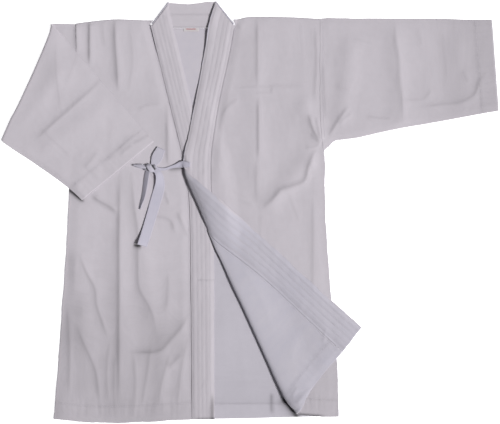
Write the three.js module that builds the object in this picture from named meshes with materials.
// A kendo jacket of thick white cotton, laid flat on its back. The left front crosses over the
// right one and is tied there with a bow. Its lower inner corner is turned back over itself, and
// the right sleeve is folded over onto the front. Left and right are the wearer's. Millimetres.
import * as THREE from "three";

const { smoothstep, clamp, lerp } = THREE.MathUtils;

// Where the jacket lies: its centre line and its shoulder line
const CENTRE = -116;
const SHOULDER = 413;

// Cloth, the gap left at each seam, and the sizes of a collar band and a tie
const CLOTH = 1.4;
const SEAM = 0.3;
const BAND = 3.6;
const TIE = 1.6;

// The back's turned-up hem, and the step where it ends
const HEM_LEVEL = 822;
const HEM_STEP = 3;

// How far apart the lines that a panel is cut along lie
const PANEL_STEP = 27;
const BACK_STEP = 40;
const OUTLINE_STEP = 18;

// Cloth that climbs onto another piece does so between these distances from it
const CLIMB_FROM = 60;
const CLIMB_TO = 26;

// The front stretches of the collar band come down from the neck band between these levels
const NECK_HIGH_TO = 46;
const NECK_LOW_FROM = 90;

// The lowest level at which a seam's place is read
const LOWEST = 860;

// The seams and edges across the body: how far down from the shoulder line each level is, and how
// far each line lies there from the centre line
const BODY = [
  { down: -40, rightSide: -258, rightSeam: -112, rightEdge: -63, leftEdge: 39, leftSeam: 98, leftSide: 264 },
  { down: 0, rightSide: -260, rightSeam: -103, rightEdge: -55, leftEdge: 26, leftSeam: 84, leftSide: 264 },
  { down: 86, rightSide: -260, rightSeam: -82, rightEdge: -34, leftEdge: 11, leftSeam: 67, leftSide: 264 },
  { down: 172, rightSide: -260, rightSeam: -61, rightEdge: -14, leftEdge: -4, leftSeam: 48, leftSide: 264 },
  { down: 252, rightSide: -261, rightSeam: -41, rightEdge: 5, leftEdge: -20, leftSeam: 35, leftSide: 266 },
  { down: 295, rightSide: -268, rightSeam: -31, rightEdge: 17, leftEdge: -29, leftSeam: 30, leftSide: 271 },
  { down: 366, rightSide: -273, rightSeam: -19, rightEdge: 31, leftEdge: -30, leftSeam: 30, leftSide: 274 },
  { down: 452, rightSide: -277, rightSeam: -15, rightEdge: 35, leftEdge: -28, leftSeam: 32, leftSide: 278 },
  { down: 538, rightSide: -282, rightSeam: -14, rightEdge: 37, leftEdge: -27, leftSeam: 34, leftSide: 284 },
  { down: 624, rightSide: -288, rightSeam: -13, rightEdge: 37, leftEdge: -26, leftSeam: 37, leftSide: 291 },
  { down: 731, rightSide: -295, rightSeam: -12, rightEdge: 37, leftEdge: -24, leftSeam: 40, leftSide: 301 },
  { down: 860, rightSide: -307, rightSeam: -11, rightEdge: 38, leftEdge: -22, leftSeam: 43, leftSide: 305 },
];

// The lower edges, from the right side to the left: how far out from the centre line, how far down
const HEM = [
  { out: -310, right: 852, left: 824, back: 852 },
  { out: -230, right: 862, left: 824, back: 860 },
  { out: -144, right: 864, left: 824, back: 861 },
  { out: -20, right: 856, left: 824, back: 855 },
  { out: 38, right: 853, left: 830, back: 853 },
  { out: 125, right: 853, left: 835, back: 852 },
  { out: 206, right: 853, left: 843, back: 849 },
  { out: 264, right: 853, left: 849, back: 849 },
  { out: 310, right: 853, left: 850, back: 849 },
];

// The upper edges
const SHOULDERS = [
  { out: -265, down: 9 },
  { out: -230, down: 3 },
  { out: -175, down: -1 },
  { out: -104, down: 1 },
  { out: 86, down: 1 },
  { out: 110, down: -4 },
  { out: 200, down: -4 },
  { out: 264, down: 0 },
];

// The neckline of the back, under the collar band
const NECKLINE = { right: -101, left: 83, down: 18 };

// The band behind the neck, a row for each section from the right fold to the left one. At the first
// and the last section it turns up and over to the fronts.
const NECK_BAND = [
  { upper: [-61, -33], lower: [-95, 11] },
  { upper: [-45, -33], lower: [-78, 17.4] },
  { upper: [-17, -32], lower: [-36, 17.4] },
  { upper: [4, -34], lower: [2, 17.4] },
  { upper: [22, -36.5], lower: [44, 17.4] },
  { upper: [38, -36], lower: [77.5, 11] },
];
const NECK_BEND = 2.2;

// The left front is turned back about this line
const TURN = { start: [-24, 308], end: [211, 834] };
const TURN_HIGH = 10.8;
const TURN_LOW = 6.2;
const TURN_LENGTH_HIGH = 120;
const TURN_LENGTH_LOW = 270;
const TURN_BEND = 4;
const SETTLE = 70;

// Past the body's side the turned corner hangs down by this much, over this distance
const DROOP = 2.2;
const DROOP_REACH = 60;

// The right sleeve is folded over about this line
const SLEEVE_FOLD = { start: [-307, 8], end: [-415, 257] };
const SLEEVE_FOLD_HIGH = 4.7;
const SLEEVE_BEND = 3;
const SLEEVE_SETTLE = 55;

// The left sleeve's upper and lower edges, a row for each section from the armhole to the cuff
const LEFT_SLEEVE = [
  { upper: [264, 0], lower: [269, 285] },
  { upper: [276, -2], lower: [279, 269] },
  { upper: [291, -3], lower: [295, 256] },
  { upper: [315, -3], lower: [318, 254] },
  { upper: [342, -3], lower: [345, 253] },
  { upper: [380, -3], lower: [386, 240] },
  { upper: [430, -2], lower: [441, 228] },
  { upper: [480, -1], lower: [495, 220] },
  { upper: [530, 0], lower: [551, 212] },
  { upper: [585, 1], lower: [600, 202] },
  { upper: [634, 1], lower: [651.3, 193] },
];

// The right sleeve's edges as if it lay straight out, from the cuff to the armhole
const RIGHT_SLEEVE_EDGES = [
  { out: -650, upper: 21, lower: 219 },
  { out: -594, upper: 19, lower: 223 },
  { out: -505, upper: 15, lower: 240 },
  { out: -419, upper: 12, lower: 256 },
  { out: -330, upper: 9, lower: 257 },
  { out: -296, upper: 9, lower: 260 },
  { out: -281, upper: 9, lower: 271 },
  { out: -268, upper: 9, lower: 290 },
  { out: -255, upper: 9, lower: 296 },
];
const RIGHT_SLEEVE_START = [
  { upper: -260, lower: -268 },
  { upper: -266, lower: -280 },
  { upper: -273, lower: -298 },
  { upper: -283, lower: -335 },
  { upper: -294, lower: -375 },
];
const RIGHT_CUFF = { upper: -648, lower: -634 };
const FOLDED_SECTIONS = 9;
const SLEEVE_HOLLOW = 0.5;
const SLEEVE_COLUMNS = 8;

// The largest folds of the cloth, each a soft ridge along a line
const FRONT_RIDGES = [
  { from: [-262, 520], to: [-222, 700], high: 4, wide: 22 },
  { from: [-248, 640], to: [-240, 800], high: 3, wide: 20 },
  { from: [-170, 470], to: [-150, 820], high: 3.5, wide: 24 },
  { from: [-112, 500], to: [-96, 640], high: 3, wide: 20 },
  { from: [-70, 620], to: [-80, 840], high: 2.5, wide: 18 },
  { from: [120, 60], to: [130, 330], high: 2.5, wide: 24 },
  { from: [232, 190], to: [258, 250], high: 4, wide: 20 },
  { from: [236, 300], to: [160, 390], high: 4, wide: 22 },
];
const SLEEVE_RIDGES = [
  { from: [330, 60], to: [308, 205], high: 4, wide: 22 },
  { from: [424, 40], to: [436, 215], high: 3.5, wide: 22 },
  { from: [560, 60], to: [575, 180], high: 2.5, wide: 20 },
];
const FOLDED_SLEEVE_RIDGES = [
  { from: [-400, 60], to: [-415, 215], high: 3, wide: 24 },
  { from: [-520, 60], to: [-500, 190], high: 3, wide: 24 },
];

// The bow: where its knot lies, and its parts
const KNOT = { at: [-100, 320], wide: 26, long: 19, high: 9 };
// Its ribbons: the places each goes through, how far it rises off the front there, its width, and
// how many degrees it leans over
const STRAP = [
  { at: [-31.5, 310], rise: 2.6, wide: 15, lean: 0 },
  { at: [-42, 312], rise: 1.4, wide: 13, lean: 6 },
  { at: [-55, 315], rise: 0.6, wide: 10, lean: 12 },
  { at: [-70, 319], rise: 0.6, wide: 8, lean: 15 },
  { at: [-84, 322], rise: 1, wide: 8, lean: 15 },
];
const SHORT_TAIL = [
  { at: [-106, 334], rise: 0, wide: 16, lean: 48 },
  { at: [-110, 352], rise: 0, wide: 16, lean: 50 },
  { at: [-115, 376], rise: 0, wide: 15, lean: 58 },
  { at: [-122, 406], rise: 0, wide: 14, lean: 66 },
];
const LONG_TAIL = [
  { at: [-84, 333], rise: 0.8, wide: 20, lean: -16 },
  { at: [-86, 352], rise: 0.6, wide: 20, lean: -12 },
  { at: [-92, 389], rise: 0.6, wide: 21, lean: -10 },
  { at: [-102, 430], rise: 1.6, wide: 21, lean: -12 },
  { at: [-110, 458], rise: 2, wide: 21, lean: -12 },
  { at: [-117, 486], rise: 2.2, wide: 22, lean: -14 },
];
// Its two loops: where each starts at the knot and where it turns back, its width at either end,
// and how far the returning half lies above the other
const UPPER_LOOP = { start: [-93, 307], tip: [-82, 276], wide: 16, wideTip: 21, apart: 4 };
const SIDE_LOOP = { start: [-116, 319], tip: [-136, 313], wide: 12, wideTip: 7, apart: 3.4 };

// The label under the neck band
const LABEL_PLATE = { from: -29, to: 4, top: 18.4, bottom: 25, thick: 0.6 };

const COTTON = { color: 0xe6e3e8, roughness: 0.95, metalness: 0 };
const COTTON_INSIDE = { color: 0xe2e3ea, roughness: 0.95, metalness: 0 };
const TAPE = { color: 0xe9e8f2, roughness: 0.85, metalness: 0 };
const LABEL = { color: 0xc9cec8, roughness: 0.7, metalness: 0 };

const jacket = new THREE.Group();

// A smooth curve through one column of a table whose rows go up in another
function column(rows, along, name) {
  const at = rows.map((row) => row[along]);
  const value = rows.map((row) => row[name]);
  const last = rows.length - 1;
  const slope = value.map((_, i) => {
    const before = Math.max(i - 1, 0);
    const after = Math.min(i + 1, last);
    return (value[after] - value[before]) / (at[after] - at[before]);
  });
  return (where) => {
    let i = 0;
    while (i < last - 1 && where > at[i + 1]) i++;
    const span = at[i + 1] - at[i];
    const t = clamp((where - at[i]) / span, 0, 1);
    const bend = t * (1 - t) * span * ((1 - t) * slope[i] - t * slope[i + 1]);
    const ease = t * t * (3 - 2 * t);
    return lerp(value[i], value[i + 1], ease) + bend;
  };
}

const across = {};
for (const name of ["rightSide", "rightSeam", "rightEdge", "leftEdge", "leftSeam", "leftSide"])
  across[name] = column(BODY, "down", name);
const hem = {
  right: column(HEM, "out", "right"),
  left: column(HEM, "out", "left"),
  back: column(HEM, "out", "back"),
};
const shoulder = column(SHOULDERS, "out", "down");

const flat = ([out, down]) => new THREE.Vector2(out, down);

// A straight line on the flat jacket: beyond() is the distance past it on the right hand, going from
// start to end, and along() the distance along it
function lineThrough({ start: from, end: to }) {
  const start = flat(from);
  const direction = flat(to).sub(start).normalize();
  const outward = new THREE.Vector2(-direction.y, direction.x);
  return {
    start,
    direction,
    outward,
    beyond: (p) => p.clone().sub(start).dot(outward),
    along: (p) => p.clone().sub(start).dot(direction),
    foot(p) {
      return start.clone().addScaledVector(direction, this.along(p));
    },
  };
}

const turn = lineThrough(TURN);
const sleeveFold = lineThrough(SLEEVE_FOLD);
const [neckRight, neckLeft] = [NECK_BAND[0], NECK_BAND[NECK_BAND.length - 1]];
const rightNeckFold = lineThrough({ start: neckRight.upper, end: neckRight.lower });
const leftNeckFold = lineThrough({ start: neckLeft.lower, end: neckLeft.upper });

// The height that the ridges add at a place
function ridges(rows, p) {
  let height = 0;
  for (const { from, to, high, wide } of rows) {
    const start = flat(from);
    const run = flat(to).sub(start);
    const t = clamp(p.clone().sub(start).dot(run) / run.lengthSq(), 0, 1);
    const away = start.addScaledVector(run, t).distanceTo(p);
    height += high * Math.exp(-((away / wide) ** 2));
  }
  return height;
}

// Heights of what lies under a piece. The hem of the back is two layers.
const backThickness = (p) => CLOTH * (1 + smoothstep(p.y, HEM_LEVEL, HEM_LEVEL + HEM_STEP));
const onBack = (p) => {
  const hemLift = CLOTH * smoothstep(p.y, HEM_LEVEL - CLIMB_FROM, HEM_LEVEL - CLIMB_TO);
  return CLOTH + SEAM + hemLift;
};
const neckLift = (p) => (BAND - CLOTH) * (1 - smoothstep(p.y, NECK_HIGH_TO, NECK_LOW_FROM));
const past = (line, p) => p.x - line(Math.min(p.y, LOWEST));
const overRightBand = (p) =>
  (BAND + SEAM) * (1 - smoothstep(past(across.rightEdge, p), CLIMB_TO, CLIMB_FROM));
const awayFromTurn = (p) => clamp(-turn.beyond(p) / CLIMB_FROM, 0, 1);
const rightFrontUnder = (p) => onBack(p) + ridges(FRONT_RIDGES, p);
const rightBandUnder = (p) => onBack(p) + neckLift(p);
const leftUnder = (p) => {
  const onBandSide = past(across.leftSeam, p) < 0 ? neckLift(p) : 0;
  return onBack(p) + onBandSide + overRightBand(p) + ridges(FRONT_RIDGES, p) * awayFromTurn(p);
};

// A polygon of the outline of a panel between two upright lines, an upper and a lower edge
function panelOutline({ from, to, top, bottom }) {
  const left = (y) => from(y) + SEAM / 2;
  const right = (y) => to(y) - SEAM / 2;
  const corner = (side, level) => {
    let y = level(side(0));
    for (let i = 0; i < 8; i++) y = level(side(y));
    return new THREE.Vector2(side(y), y);
  };
  const corners = [corner(left, top), corner(left, bottom), corner(right, bottom), corner(right, top)];
  const points = [];
  const walk = (start, end, place) => {
    const count = Math.max(1, Math.round(start.distanceTo(end) / OUTLINE_STEP));
    for (let i = 0; i < count; i++) points.push(place(i / count));
  };
  const down = (side, start, end) =>
    walk(start, end, (t) => new THREE.Vector2(side(lerp(start.y, end.y, t)), lerp(start.y, end.y, t)));
  const over = (level, start, end) =>
    walk(start, end, (t) => new THREE.Vector2(lerp(start.x, end.x, t), level(lerp(start.x, end.x, t))));
  down(left, corners[0], corners[1]);
  over(bottom, corners[1], corners[2]);
  down(right, corners[2], corners[3]);
  over(top, corners[3], corners[0]);
  return points;
}

// The part of a polygon on one side of a line x = limit or y = limit
function clip(polygon, axis, limit, keepAbove) {
  const kept = [];
  const inside = (p) => (keepAbove ? p[axis] >= limit : p[axis] <= limit);
  polygon.forEach((p, i) => {
    const next = polygon[(i + 1) % polygon.length];
    if (inside(p)) kept.push(p);
    if (inside(p) !== inside(next) && p[axis] !== limit && next[axis] !== limit) {
      const [low, high] = p[axis] < next[axis] ? [p, next] : [next, p];
      const cut = low.clone().lerp(high, (limit - low[axis]) / (high[axis] - low[axis]));
      cut[axis] = limit;
      kept.push(cut);
    }
  });
  return kept;
}

// Cuts a polygon along a grid of lines, turned so that its columns lie along a line, and gives the
// pieces as polygons
function cutAlong(outline, line, columns, rowStep) {
  const turned = outline.map((p) => new THREE.Vector2(line.beyond(p), line.along(p)));
  const rows = [];
  const lowest = Math.min(...turned.map((p) => p.y));
  const highest = Math.max(...turned.map((p) => p.y));
  for (let y = Math.floor(lowest / rowStep) * rowStep; y < highest + rowStep; y += rowStep) rows.push(y);
  const pieces = [];
  for (let i = 0; i + 1 < columns.length; i++) {
    const strip = clip(clip(turned, "x", columns[i], true), "x", columns[i + 1], false);
    if (strip.length < 3) continue;
    for (let j = 0; j + 1 < rows.length; j++) {
      const cell = clip(clip(strip, "y", rows[j], true), "y", rows[j + 1], false);
      if (cell.length < 3) continue;
      pieces.push(
        cell.map((p) =>
          line.start.clone().addScaledVector(line.outward, p.x).addScaledVector(line.direction, p.y)
        )
      );
    }
  }
  return pieces;
}

function evenly(from, to, step) {
  const count = Math.ceil((to - from) / step);
  return Array.from({ length: count + 1 }, (_, i) => lerp(from, to, i / count));
}

const inFrame = (p, height) => new THREE.Vector3(CENTRE + p.x, SHOULDER - p.y, height);

// A closed mesh from a list of corner points and triangles, turned to face out, with its material
function addMesh(name, positions, triangles, look) {
  let volume = 0;
  for (const [a, b, c] of triangles)
    volume += positions[a].dot(positions[b].clone().cross(positions[c]));
  const outward = volume > 0 ? triangles : triangles.map(([a, b, c]) => [a, c, b]);
  const geometry = new THREE.BufferGeometry();
  const numbers = positions.flatMap((p) => p.toArray());
  geometry.setAttribute("position", new THREE.Float32BufferAttribute(numbers, 3));
  geometry.setIndex(outward.flat());
  geometry.computeVertexNormals();
  const mesh = new THREE.Mesh(geometry, new THREE.MeshStandardMaterial(look));
  mesh.name = name;
  jacket.add(mesh);
}

// A wall over the pieces of a flat panel. sides(p) gives a place's lower and upper point.
function addWall(name, pieces, sides, look) {
  const places = new Map();
  const points = [];
  const indexOf = (p) => {
    const key = `${Math.round(p.x * 1000)},${Math.round(p.y * 1000)}`;
    if (!places.has(key)) {
      places.set(key, points.length);
      points.push(p);
    }
    return places.get(key);
  };
  const faces = [];
  for (const piece of pieces) {
    const ids = piece.map(indexOf).filter((id, i, all) => id !== all[(i + 1) % all.length]);
    if (ids.length < 3) continue;
    const cut = THREE.ShapeUtils.triangulateShape(ids.map((id) => points[id]), []);
    for (const triangle of cut) faces.push(triangle.map((k) => ids[k]));
  }
  const area = ([a, b, c]) =>
    (points[b].x - points[a].x) * (points[c].y - points[a].y) -
    (points[c].x - points[a].x) * (points[b].y - points[a].y);
  const upward = faces.filter((f) => area(f) !== 0).map((f) => (area(f) < 0 ? f : [f[0], f[2], f[1]]));
  const edges = new Set(upward.flatMap(([a, b, c]) => [`${a},${b}`, `${b},${c}`, `${c},${a}`]));
  const count = points.length;
  const walls = [];
  for (const edge of edges) {
    const [a, b] = edge.split(",").map(Number);
    if (edges.has(`${b},${a}`)) continue;
    walls.push([a + count, b + count, b], [a + count, b, a]);
  }
  const placed = points.map(sides);
  addMesh(
    name,
    [...placed.map((p) => p.upper), ...placed.map((p) => p.lower)],
    [...upward, ...upward.map(([a, b, c]) => [a + count, c + count, b + count]), ...walls],
    look
  );
}

// A wall that lies on what is under it
const lying = (under, thickness) => (p) => ({
  lower: inFrame(p, under(p)),
  upper: inFrame(p, under(p) + thickness(p)),
});

// The way down the jacket, for panels that are cut square, and the columns of each
const square = lineThrough({ start: [0, 0], end: [0, 1] });
const BACK_COLUMNS = evenly(-320, 320, BACK_STEP);
const FRONT_COLUMNS = evenly(-20, 320, PANEL_STEP);
const BAND_COLUMNS = evenly(-60, 120, PANEL_STEP);

// Back, its underside flat on the surface
{
  const outline = panelOutline({
    from: across.rightSide,
    to: across.leftSide,
    top: shoulder,
    bottom: hem.back,
  });
  const { right, left, down } = NECKLINE;
  const outsideNeck = (p) => p.y > down || p.x < right || p.x > left;
  const overNeck = outline.filter((p) => !outsideNeck(p));
  const neckline = [
    [left, shoulder(left)],
    [left, down],
    [right, down],
    [right, shoulder(right)],
  ].map(flat);
  outline.splice(outline.indexOf(overNeck[0]), overNeck.length, ...neckline);
  const pieces = cutAlong(outline, square, BACK_COLUMNS, BACK_STEP).flatMap((piece) =>
    [
      clip(piece, "y", HEM_LEVEL, false),
      clip(clip(piece, "y", HEM_LEVEL, true), "y", HEM_LEVEL + HEM_STEP, false),
      clip(piece, "y", HEM_LEVEL + HEM_STEP, true),
    ].filter((part) => part.length > 2)
  );
  addWall("back", pieces, lying(() => 0, backThickness), COTTON_INSIDE);
}

// Right front
addWall(
  "right_front",
  cutAlong(
    panelOutline({ from: across.rightSide, to: across.rightSeam, top: shoulder, bottom: hem.right }),
    square,
    FRONT_COLUMNS,
    PANEL_STEP
  ),
  lying(rightFrontUnder, () => CLOTH),
  COTTON
);

// A stretch of the collar band from a neck fold to the hem, as an outline
function bandOutline(seam, edge, neck, bottom) {
  const onFold = (line) => {
    let y = 0;
    for (let i = 0; i < 12; i++) {
      const t = (line(y) - neck.start.x) / neck.direction.x;
      y = neck.start.y + t * neck.direction.y;
    }
    return y;
  };
  const run = (line, inset) => {
    const start = onFold((y) => line(y) + inset) + SEAM;
    let end = LOWEST;
    for (let i = 0; i < 4; i++) end = bottom(line(end));
    return evenly(start, end, OUTLINE_STEP).map((y) => new THREE.Vector2(line(y) + inset, y));
  };
  const inset = (Math.sign(edge(LOWEST) - seam(LOWEST)) * SEAM) / 2;
  return [...run(seam, inset), ...run(edge, 0).reverse()];
}

// Right stretch of the collar band
addWall(
  "right_band",
  cutAlong(
    bandOutline(across.rightSeam, across.rightEdge, rightNeckFold, hem.right),
    square,
    BAND_COLUMNS,
    PANEL_STEP
  ),
  lying(rightBandUnder, () => BAND),
  COTTON
);

// The left front's cloth past the turn goes round a bend and comes down onto the front's outside.
// Its wrong side is then on top.
function turnedBack(thickness) {
  return (p) => {
    const beyond = turn.beyond(p);
    const foot = turn.foot(p);
    const base = leftUnder(beyond > 0 ? foot : p);
    if (beyond <= 0) return { lower: inFrame(p, base), upper: inFrame(p, base + thickness) };
    const axis = lerp(TURN_HIGH, TURN_LOW, smoothstep(turn.along(p), TURN_LENGTH_HIGH, TURN_LENGTH_LOW));
    const bent = Math.min(beyond / TURN_BEND, Math.PI);
    const after = beyond - Math.PI * TURN_BEND;
    const place = (height) => {
      const radius = axis - height;
      const out = after > 0 ? -after : radius * Math.sin(bent);
      const at = foot.clone().addScaledVector(turn.outward, out);
      const bentHeight = axis - radius * Math.cos(bent);
      if (after <= 0) return inFrame(at, bentHeight);
      const droop = DROOP * smoothstep(past(across.leftSide, at), 0, DROOP_REACH);
      const rest = leftUnder(at) + underFlap(at) + SEAM + (base + thickness - height) - droop;
      return inFrame(at, lerp(bentHeight, rest, smoothstep(after, 0, SETTLE)));
    };
    return { lower: place(base), upper: place(base + thickness) };
  };
}

// How thick the left front is under the turned corner: its band's margin, then one layer
function underFlap(p) {
  return lerp(BAND, CLOTH, smoothstep(past(across.leftSeam, p), CLIMB_TO, CLIMB_FROM));
}

// Columns that lie along the turn, close together where the cloth bends
const TURN_COLUMNS = [
  ...evenly(-420, -14, PANEL_STEP),
  ...evenly(0, Math.PI * TURN_BEND, 3.2),
  ...evenly(26, 232, PANEL_STEP),
];

// Left front
addWall(
  "left_front",
  cutAlong(
    panelOutline({ from: across.leftSeam, to: across.leftSide, top: shoulder, bottom: hem.left }),
    turn,
    TURN_COLUMNS,
    PANEL_STEP
  ),
  turnedBack(CLOTH),
  COTTON
);

// Left stretch of the collar band
addWall(
  "left_band",
  cutAlong(
    bandOutline(across.leftSeam, across.leftEdge, leftNeckFold, hem.left),
    turn,
    TURN_COLUMNS,
    PANEL_STEP
  ),
  turnedBack(BAND),
  COTTON
);

// Collar band behind the neck. Past each slanting fold it turns up and ends over itself, where the
// front's stretch goes on.
{
  const folds = [rightNeckFold, leftNeckFold];
  const beside = (row, line) =>
    evenly(0, Math.PI * NECK_BEND, 1.8)
      .slice(1)
      .map((out) => [row.upper, row.lower].map((end) => flat(end).addScaledVector(line.outward, out)));
  const sections = [
    ...beside(NECK_BAND[0], rightNeckFold).reverse(),
    ...NECK_BAND.map(({ upper, lower }) => [flat(upper), flat(lower)]),
    ...beside(NECK_BAND[NECK_BAND.length - 1], leftNeckFold),
  ];
  const wrapped = (p) => {
    const line = folds.find((fold) => fold.beyond(p) > 0);
    const place = (height) => {
      if (!line) return inFrame(p, height);
      const bent = Math.min(line.beyond(p) / NECK_BEND, Math.PI);
      const axis = BAND + SEAM / 2;
      const radius = axis - height;
      const at = line.foot(p).addScaledVector(line.outward, radius * Math.sin(bent));
      return inFrame(at, axis - radius * Math.cos(bent));
    };
    return { lower: place(0), upper: place(BAND) };
  };
  addWall("back_neck_band", between(sections, 2), wrapped, COTTON_INSIDE);
}

// The quadrilaterals between sections that each have an upper and a lower end
function between(sections, columns) {
  const pieces = [];
  for (let i = 0; i + 1 < sections.length; i++)
    for (let k = 0; k < columns; k++) {
      const on = ([upper, lower], step) => upper.clone().lerp(lower, step / columns);
      const [here, next] = [sections[i], sections[i + 1]];
      pieces.push([on(here, k), on(here, k + 1), on(next, k + 1), on(next, k)]);
    }
  return pieces;
}

// A flattened tube through sections, open at both ends. Each section is a function of the share of
// the way across, from the upper edge to the lower. place(p, height) puts a flat place in the frame,
// and rise(p) lifts the upper layer.
const SLEEVE_HIGH = 2 * CLOTH + SLEEVE_HOLLOW;
function addTube(name, sections, rise, place, look) {
  const shares = evenly(0, 1, 1 / SLEEVE_COLUMNS).slice(1, -1);
  const ring = (section, inset) => {
    const length = section(0).distanceTo(section(1));
    const edge = inset / length;
    const near = (inset + 1) / length;
    const high = (p) => SLEEVE_HIGH - inset + rise(p);
    const over = [near, ...shares, 1 - near];
    const at = (share, height) => {
      const p = section(share);
      return place(p, height(p));
    };
    return [
      at(edge, () => SLEEVE_HIGH / 2),
      ...over.map((share) => at(share, high)),
      at(1 - edge, () => SLEEVE_HIGH / 2),
      ...over.reverse().map((share) => at(share, () => inset)),
    ];
  };
  const outer = sections.map((section) => ring(section, 0));
  const inner = sections.map((section) => ring(section, CLOTH));
  const size = outer[0].length;
  const start = sections.length * size;
  const triangles = [];
  const quad = (a, b, c, d) => triangles.push([a, b, c], [a, c, d]);
  for (let k = 0; k < size; k++) {
    const next = (k + 1) % size;
    for (let i = 0; i + 1 < sections.length; i++) {
      const row = i * size;
      const after = row + size;
      quad(row + k, after + k, after + next, row + next);
      quad(start + row + k, start + row + next, start + after + next, start + after + k);
    }
    const last = (sections.length - 1) * size;
    quad(k, next, start + next, start + k);
    quad(last + k, start + last + k, start + last + next, last + next);
  }
  addMesh(name, [...outer.flat(), ...inner.flat()], triangles, look);
}

const straight = (upper, lower) => (share) => upper.clone().lerp(lower, share);

// The end of a sleeve that meets the body's side
const armhole = (side, from, to, gap) => (share) => {
  const down = lerp(from, to, share);
  return new THREE.Vector2(side(down) + gap, down);
};

// Left sleeve, straight out
{
  const [first, ...rest] = LEFT_SLEEVE;
  const sections = [
    armhole(across.leftSide, first.upper[1], first.lower[1], SEAM),
    ...rest.map(({ upper, lower }) => straight(flat(upper), flat(lower))),
  ];
  addTube("left_sleeve", sections, (p) => ridges(SLEEVE_RIDGES, p), inFrame, COTTON);
}

// Right sleeve, folded over onto the front. Its outer part lies upside down.
{
  const upper = column(RIGHT_SLEEVE_EDGES, "out", "upper");
  const lower = column(RIGHT_SLEEVE_EDGES, "out", "lower");
  const onEdge = (edge, out) => new THREE.Vector2(out, edge(out));
  const [first, ...start] = RIGHT_SLEEVE_START;
  const besideFold = (beyond) => {
    const meet = (edge, from) => {
      let p = onEdge(edge, from);
      for (let i = 0; i < 20; i++) p = onEdge(edge, p.x + sleeveFold.beyond(p) - beyond);
      return p;
    };
    return [meet(upper, SLEEVE_FOLD.start[0]), meet(lower, SLEEVE_FOLD.end[0])];
  };
  const bendEnd = Math.PI * SLEEVE_BEND;
  const fold = [-12, ...evenly(0, bendEnd, 2.4), 26].map(besideFold);
  const cuff = [onEdge(upper, RIGHT_CUFF.upper), onEdge(lower, RIGHT_CUFF.lower)];
  const last = fold[fold.length - 1];
  const folded = evenly(0, 1, 1 / FOLDED_SECTIONS)
    .slice(1)
    .map((t) => [onEdge(upper, lerp(last[0].x, cuff[0].x, t)), onEdge(lower, lerp(last[1].x, cuff[1].x, t))]);
  const sections = [
    armhole(across.rightSide, upper(first.upper), lower(first.lower), -SEAM),
    ...start.map((row) => straight(onEdge(upper, row.upper), onEdge(lower, row.lower))),
    ...fold.map(([a, b]) => straight(a, b)),
    ...folded.map(([a, b]) => straight(a, b)),
  ];
  const place = (p, height) => {
    const beyond = sleeveFold.beyond(p);
    if (beyond <= 0) return inFrame(p, height);
    const bent = Math.min(beyond / SLEEVE_BEND, Math.PI);
    const after = Math.max(0, beyond - bendEnd);
    const settled = smoothstep(after, 0, SLEEVE_SETTLE);
    const lifted = height > SLEEVE_HIGH / 2 ? height : height - settled * ridges(FOLDED_SLEEVE_RIDGES, p);
    const radius = SLEEVE_FOLD_HIGH - lifted;
    const out = after > 0 ? -after : radius * Math.sin(bent);
    const at = sleeveFold.foot(p).addScaledVector(sleeveFold.outward, out);
    const bentHeight = SLEEVE_FOLD_HIGH - radius * Math.cos(bent);
    const rest = SLEEVE_HIGH + SEAM + ridges(FRONT_RIDGES, at) + SLEEVE_HIGH - lifted;
    return inFrame(at, lerp(bentHeight, rest, settled));
  };
  addTube("right_sleeve", sections, () => 0, place, COTTON);
}

// A ribbon through stations, each with its middle, its direction across and its width
function addRibbon(name, stations, look) {
  const positions = [];
  stations.forEach(({ middle, side, wide }, i) => {
    const before = stations[Math.max(i - 1, 0)].middle;
    const after = stations[Math.min(i + 1, stations.length - 1)].middle;
    const normal = after.clone().sub(before).cross(side).setLength(TIE / 2);
    const reach = side.clone().multiplyScalar(wide / 2);
    for (const [a, b] of [[-1, -1], [1, -1], [1, 1], [-1, 1]])
      positions.push(middle.clone().addScaledVector(reach, a).addScaledVector(normal, b));
  });
  const triangles = [];
  const quad = (a, b, c, d) => triangles.push([a, b, c], [a, c, d]);
  for (let i = 0; i + 1 < stations.length; i++)
    for (let k = 0; k < 4; k++) {
      const next = (k + 1) % 4;
      quad(4 * i + k, 4 * i + next, 4 * i + 4 + next, 4 * i + 4 + k);
    }
  const end = positions.length - 4;
  quad(3, 2, 1, 0);
  quad(end, end + 1, end + 2, end + 3);
  addMesh(name, positions, triangles, look);
}

const onRightFront = (p) => rightFrontUnder(p) + CLOTH + SEAM;

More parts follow.
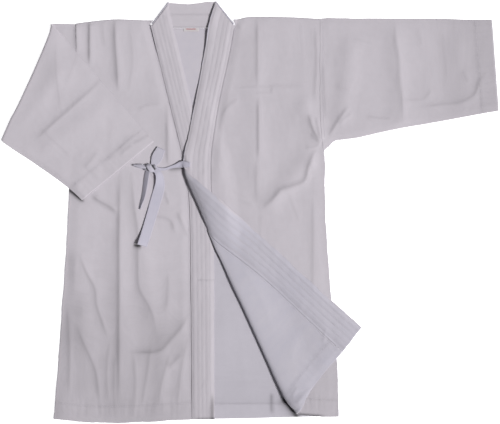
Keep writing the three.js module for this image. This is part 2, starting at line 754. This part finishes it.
// A ribbon that lies on the right front
function addLyingRibbon(name, rows) {
  const places = rows.map(({ at }) => flat(at));
  const stations = rows.map(({ rise, wide, lean }, i) => {
    const run = places[Math.min(i + 1, rows.length - 1)].clone().sub(places[Math.max(i - 1, 0)]);
    const angle = THREE.MathUtils.degToRad(lean);
    const sideways = new THREE.Vector3(-run.y, -run.x, 0).normalize();
    const side = sideways.multiplyScalar(Math.cos(angle)).add(new THREE.Vector3(0, 0, Math.sin(angle)));
    const half = (Math.abs(Math.sin(angle)) * wide + Math.cos(angle) * TIE) / 2;
    return { middle: inFrame(places[i], onRightFront(places[i]) + half + rise), side, wide };
  });
  addRibbon(name, stations, TAPE);
}

addLyingRibbon("tie_strap", STRAP);
addLyingRibbon("tie_tail_short", SHORT_TAIL);
addLyingRibbon("tie_tail_long", LONG_TAIL);

// A loop of the bow: out from the knot, round, and back above itself
function addLoop(name, { start, tip, wide, wideTip, apart }) {
  const from = flat(start);
  const to = flat(tip);
  const heading = to.clone().sub(from).normalize();
  const side = new THREE.Vector3(-heading.y, -heading.x, 0);
  const low = onRightFront(from) + TIE / 2;
  const reach = from.distanceTo(to) - apart / 2;
  const station = (along, height) => ({
    middle: inFrame(from.clone().addScaledVector(heading, along), height),
    side,
    wide: lerp(wide, wideTip, along / reach),
  });
  const round = evenly(-Math.PI / 2, Math.PI / 2, Math.PI / 6).map((angle) =>
    station(reach + (apart / 2) * Math.cos(angle), low + (apart / 2) * (1 + Math.sin(angle)))
  );
  const stretch = [0, reach / 2];
  const out = stretch.map((along) => station(along, low));
  const back = stretch.map((along) => station(along, low + apart)).reverse();
  addRibbon(name, [...out, ...round, ...back], TAPE);
}

addLoop("tie_loop_upper", UPPER_LOOP);
addLoop("tie_loop_side", SIDE_LOOP);

// The knot, a squashed lump
{
  const knot = new THREE.Mesh(
    new THREE.IcosahedronGeometry(1, 3).scale(KNOT.wide / 2, KNOT.long / 2, KNOT.high / 2),
    new THREE.MeshStandardMaterial(TAPE)
  );
  knot.name = "tie_knot";
  const middle = flat(KNOT.at);
  knot.position.copy(inFrame(middle, onRightFront(middle) + KNOT.high / 2));
  jacket.add(knot);
}

// Label, flat on the back just under the neck band
{
  const { from, to, top, bottom, thick } = LABEL_PLATE;
  const outline = [
    [from, top],
    [to, top],
    [to, bottom],
    [from, bottom],
  ].map(flat);
  addWall("label", [outline.reverse()], lying(onBack, () => thick), LABEL);
}

export default jacket;
